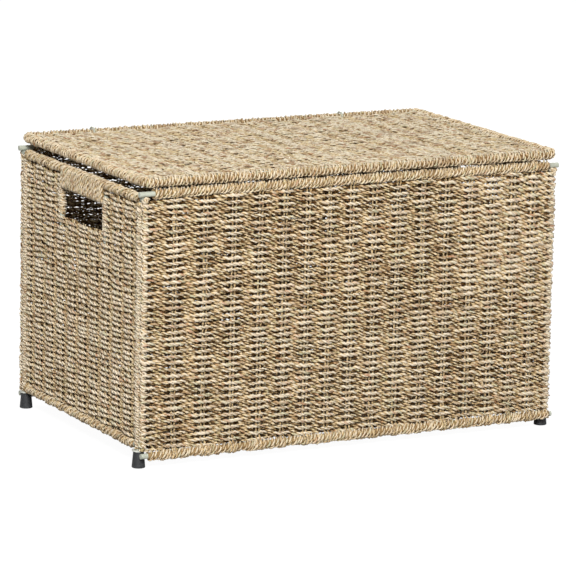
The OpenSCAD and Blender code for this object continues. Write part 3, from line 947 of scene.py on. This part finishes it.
# The lid's border is one winding all the way round its bent rod. It hangs a little at the ends and the front.
axis, outward = rounded(rod_x, rod_y, rod_z, LID_BEND)
axis[:, 0] += lid_centre
axis[:, 2] -= END_SAG * np.clip(1 - (np.abs(axis[:, 1]) / rod_y) ** 4, 0, 1) * (np.abs(outward[:, 0]) > 0.9)
axis[:, 2] -= FRONT_SAG * (axis[:, 1] < 1 - rod_y)
dense = resample(axis, BORDER_STEP)
outward = read_off(outward, lengths(axis), lengths(dense))
half = len(dense) // 2
border_nodes = ["lid_wrap_front", "lid_wrap_back", "lid_wrap_left", "lid_wrap_right", "lid_wrap_corners"]
for number, (name, part) in enumerate((("right", slice(0, half + 1)), ("left", slice(half, None)))):
    bundle = Bundle(80 + number)
    beside = dense[part] + outward[part] * border_r
    bind(bundle, dense[part], unit(outward[part]), Z, border_r, loose=RIM_LOOSE, measure=beside)
    bundle.build(f"lid_border_{name}_cord", bound_grass, "lid", "bound_cord", *border_nodes)

# ---- upright cords

TIE_PLY = 0.92
TIE_APART = 0.75
TIE_LAY = 15.0
TIE_STEP = 3.4
TIE_SWAY, TIE_WAVE, TIE_WAVE_REACH = 0.25, 0.3, 6
WARP_PAIR = 2.2
UPRIGHT_RISE = 0.9
HOOK_STEPS = 12
HOOK_ROOM = 0.35
HOOK_CLEAR = 5.5
BASE_HOOK, RIM_HOOK = (200, 435), (-75, 165)


def hook(centre, radius, start, end):
    """Points on an arc round a bar, as (n, v) from start to end in degrees, 0 outward and 90 up."""
    a = np.radians(np.linspace(start, end, HOOK_STEPS))
    return [(centre[0] + radius * math.cos(x), centre[1] + radius * math.sin(x)) for x in a]


def upright(bundle, wall, u, base_bar, rim_bar, top):
    """One upright cord from round the base bar, up inside the rows, to round the rim bar.

    Without a rim bar it ends at top, in the middle of the wall."""
    low = hook(*base_bar, *BASE_HOOK)
    high = hook(*rim_bar, *RIM_HOOK) if rim_bar else [(UPRIGHT_RISE, top - 8), (0, top)]
    middle = [(UPRIGHT_RISE, low[-1][1] + HOOK_CLEAR), (UPRIGHT_RISE, high[0][1] - HOOK_CLEAR)]
    points = np.array([*low, *middle, *high])
    sway = TIE_SWAY * bundle.rng.normal(size=2)
    path = np.stack([np.full(len(points), u), points[:, 1], points[:, 0]], axis=1)
    path[:, 0] += np.interp(path[:, 1], [path[:, 1].min(), path[:, 1].max()], sway)
    path = resample(path, TIE_STEP)
    path[:, 0] += TIE_WAVE * smooth_noise(bundle.rng, (len(path),), (TIE_WAVE_REACH,))
    facing = unit(np.cross(np.gradient(path, axis=0), np.array(X, float)))
    bundle.cord(wall.at(path), facing @ wall.axes, TIE_PLY, TIE_APART, TIE_LAY, sides=4)


def wrapped_bar(node, axis_n, flip, middle):
    """Where a wrapped bar lies as (n, v) in its wall, and how wide a hook goes round it."""
    low, high = box(node)
    centre = (flip * (low[axis_n] + high[axis_n]) / 2 - middle, (low[2] + high[2]) / 2)
    return centre, (high[2] - low[2]) / 2 + HOOK_ROOM


for wall, name, seed, sign, warps, tops in (
    (front, "front", 90, 1, front_warps, front_tops),
    (back, "back", 91, -1, back_warps, back_tops),
    (left, "left", 92, -1, end_warps, end_tops),
    (right, "right", 93, 1, end_warps, end_tops),
):
    axis_n, middle = (1, long_mid) if name in ("front", "back") else (0, end_mid)
    flip = -1 if name in ("front", "left") else 1
    rim_bar = wrapped_bar(f"rim_wrap_{name}", axis_n, flip, middle)
    base_bar = wrapped_bar(f"base_wrap_{name}", axis_n, flip, middle)
    bundle = Bundle(seed)
    for place, top in zip(sign * warps, tops, strict=True):
        high_bar = None if top < opening_sill + 1 else rim_bar
        for side in (-WARP_PAIR, WARP_PAIR):
            upright(bundle, wall, place + side, base_bar, high_bar, opening_sill - 1)
    bundle.build(f"upright_cords_{name}", upright_grass, "trunk", "upright_cord", f"warp_cords_{name}")

# ---- loose fibres

FIBRE_R = 0.22
FIBRE_FLAT = 2.2
FIBRE_POINTS = 9
FIBRE_LENGTHS = (6, 17)
FIBRE_RISES = (0.5, 3.2)
FIBRE_CURL = 0.9
FIBRE_ROOT = 1.2
# Loose ends keep this far from the foot and the top of a wall, the hand opening's sill and the lid's rear.
FOOT_MARGIN, TOP_MARGIN, SILL_MARGIN, LID_MARGIN = 12, 4, 14, 22


def loose_fibres(name, body, faces, seed):
    """Short ends of grass that stand off the cords. faces holds (wall, u span, v span, height, count)."""
    bundle = Bundle(seed)
    rng = bundle.rng
    for wall, u_span, v_span, height, count in faces:
        for _ in range(count):
            u, v = rng.uniform(*u_span), rng.uniform(*v_span)
            heading, curl = rng.uniform(0, TAU), rng.normal() * FIBRE_CURL
            length, rise = rng.uniform(*FIBRE_LENGTHS), rng.uniform(*FIBRE_RISES)
            t = np.linspace(0, 1, FIBRE_POINTS)
            bearing = heading + curl * t
            step = length / (len(t) - 1)
            du, dv = np.cumsum(np.cos(bearing)) * step, 0.6 * np.cumsum(np.sin(bearing)) * step
            dn = rise * np.sin(math.pi * 0.75 * t)
            path = np.stack([u + du, v + dv, height - FIBRE_ROOT + dn], axis=1)
            taper = FIBRE_R * (1.1 - 0.8 * t)
            bundle.tube(wall.at(path), wall.n, FIBRE_FLAT * taper, taper, sides=4)
    bundle.build(name, bound_grass, body, "woven_cord" if body == "trunk" else "lid_cord")


long_u, end_u = (-turn_u, turn_u), (-post_y, post_y)
long_v = (long_bottom + FOOT_MARGIN, long_top - TOP_MARGIN)
end_v = (end_bottom + FOOT_MARGIN, opening_sill - SILL_MARGIN)
trunk_faces = (
    (front, long_u, long_v, LONG_DEPTH + ROW_REACH, 90),
    (back, long_u, long_v, LONG_DEPTH + ROW_REACH, 70),
    (left, end_u, end_v, END_DEPTH + ROW_REACH, 45),
    (right, end_u, end_v, END_DEPTH + ROW_REACH, 45),
)
lid_faces = ((lid_wall, (-lid_u, lid_u), (-lid_v, lid_v - LID_MARGIN), LID_DEPTH + LID_REACH, 110),)
loose_fibres("loose_fibres_trunk", "trunk", trunk_faces, 101)
loose_fibres("loose_fibres_lid", "lid", lid_faces, 102)

# ---- feet

LATHE_STEPS = 40


def lathe(name, profile, x, y):
    """A turned solid from (radius, height) pairs, lowest first, closed at both ends."""
    points, faces, steps = [], [], LATHE_STEPS
    for r, z in profile:
        for i in range(steps):
            a = TAU * i / steps
            points.append(((x + r * math.cos(a)) * MM, (y + r * math.sin(a)) * MM, z * MM))
    for row in range(len(profile) - 1):
        for i in range(steps):
            j = (i + 1) % steps
            faces.append((row * steps + i, row * steps + j, (row + 1) * steps + j, (row + 1) * steps + i))
    faces.append(tuple(range(steps))[::-1])
    faces.append(tuple(range((len(profile) - 1) * steps, len(profile) * steps)))
    mesh = bpy.data.meshes.new(name)
    mesh.from_pydata(points, [], faces)
    mesh.polygons.foreach_set("use_smooth", [len(f) == 4 for f in faces])
    mesh.update()
    return mesh


FOOT_TAPER = 0.224
FOOT_ROWS = 9

for node in ("foot_front_left", "foot_front_right", "foot_back_left", "foot_back_right"):
    low, high = box(node)
    x, y = (low[0] + high[0]) / 2, (low[1] + high[1]) / 2
    wide, tall = (high[0] - low[0]) / 2, high[2]
    side = [(wide * (1 - FOOT_TAPER * z / tall), z) for z in np.linspace(1.2, tall - 0.8, FOOT_ROWS)]
    # The edges are rounded off at the floor and at the top.
    profile = [(wide * 0.93, 0), (wide * 0.985, 0.35), *side, (wide * (0.97 - FOOT_TAPER), tall)]
    place_piece(f"{node}_cap", lathe(node, profile, x, y), foot_plastic, "trunk", "foot_cap", node)

# ---- CAD nodes that stay

for node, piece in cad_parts.items():
    if piece.hide_render:
        continue
    if node.startswith("hinge_ring"):
        material = wire_paint
    elif node == "foot_washers":
        material = washer_paint
    else:
        material = rod_paint
    if not piece.material_slots:
        piece.data.materials.append(material)
    for slot in piece.material_slots:
        slot.material = material

# ---- stage

FLOOR_GLOW = 0.86
FLOOR_WHITE = 1.12
FLOOR_HALF, FLOOR_CELLS = 9.0, 24
SKY_LIGHT = 0.22


def plain_floor():
    """The studio floor, which looks evenly pale to the camera and takes only a faint shadow."""
    t = Nodes("studio_floor")
    place = t.add("ShaderNodeTexCoord").outputs["Object"]
    cloud = t.noise(t.stretch(place, (3, 3, 3)), detail=2)
    t.set(Base_Color=t.ramp(cloud, [(0.3, (0.54, 0.54, 0.54)), (0.7, (0.58, 0.58, 0.58))]))
    t.set(Roughness=0.9, Specular_IOR_Level=0.1)
    seen = t.add("ShaderNodeLightPath").outputs["Is Camera Ray"]
    share = t.add("ShaderNodeMath", {0: seen, 1: FLOOR_GLOW}, operation="MULTIPLY").outputs["Value"]
    glow = t.add("ShaderNodeEmission", {"Color": (1, 1, 1, 1), "Strength": FLOOR_WHITE}).outputs["Emission"]
    both = t.add("ShaderNodeMixShader", {0: share, 1: t.shader.outputs["BSDF"], 2: glow})
    t.tree.links.new(both.outputs["Shader"], t.output.inputs["Surface"])
    axis = np.linspace(-FLOOR_HALF, FLOOR_HALF, FLOOR_CELLS + 1)
    points = [(x, y, 0.0) for y in axis for x in axis]
    wide = len(axis)
    faces = []
    for j in range(FLOOR_CELLS):
        for i in range(FLOOR_CELLS):
            a = j * wide + i
            faces.append((a, a + 1, a + wide + 1, a + wide))
    mesh = bpy.data.meshes.new("studio_floor")
    mesh.from_pydata(points, [], faces)
    mesh.materials.append(t.material)
    floor = bpy.data.objects.new("studio_floor", mesh)
    bpy.context.scene.collection.objects.link(floor)


def lamp(name, place, target, size, power):
    """A soft round lamp that looks at its target."""
    data = bpy.data.lights.new(name, "AREA")
    data.shape, data.size, data.energy = "DISK", size, power
    o = bpy.data.objects.new(name, data)
    o.location = place
    o.rotation_mode = "QUATERNION"
    o.rotation_quaternion = (Vector(target) - Vector(place)).to_track_quat("-Z", "Y")
    bpy.context.scene.collection.objects.link(o)


def camera():
    """The photograph's camera, solved against the trunk's own edges."""
    azimuth, elevation, roll = map(math.radians, (-27.6453, 11.605, 1.1195))
    distance, across, up = 4.87744, 0.0074622, 0.1613607
    level = math.cos(elevation)
    back = Vector((math.sin(azimuth) * level, -math.cos(azimuth) * level, math.sin(elevation)))
    right = (-back).cross(Vector((0, 0, 1))).normalized()
    over = right.cross(-back)
    x = math.cos(roll) * right + math.sin(roll) * over
    y = -math.sin(roll) * right + math.cos(roll) * over
    data = bpy.data.cameras.new("camera")
    data.sensor_width, data.lens = 36, 241.0924
    data.clip_start, data.clip_end = 0.1, 100
    cam = bpy.data.objects.new("camera", data)
    place = back * distance + x * across + y * up
    cam.matrix_world = Matrix.Translation(place) @ Matrix((x, y, back)).transposed().to_4x4()
    bpy.context.scene.collection.objects.link(cam)
    bpy.context.scene.camera = cam


plain_floor()
lamp("key", (-1.85, -3.35, 2.75), (0, 0, 0.2), 1.3, 280)
lamp("top", (0.3, -0.3, 3.6), (0, 0, 0.3), 2.0, 14)
lamp("rear", (1.9, 3.1, 1.7), (0, 0, 0.15), 1.6, 115)
world = bpy.data.worlds.new("studio")
world.use_nodes = True
sky = world.node_tree.nodes["Background"]
sky.inputs["Color"].default_value = (1, 1, 1, 1)
ray = world.node_tree.nodes.new("ShaderNodeLightPath")
level = world.node_tree.nodes.new("ShaderNodeMapRange")
level.inputs["To Min"].default_value = SKY_LIGHT
world.node_tree.links.new(ray.outputs["Is Camera Ray"], level.inputs["Value"])
world.node_tree.links.new(level.outputs["Result"], sky.inputs["Strength"])
bpy.context.scene.world = world
bpy.context.scene.view_settings.view_transform = "Standard"
camera()
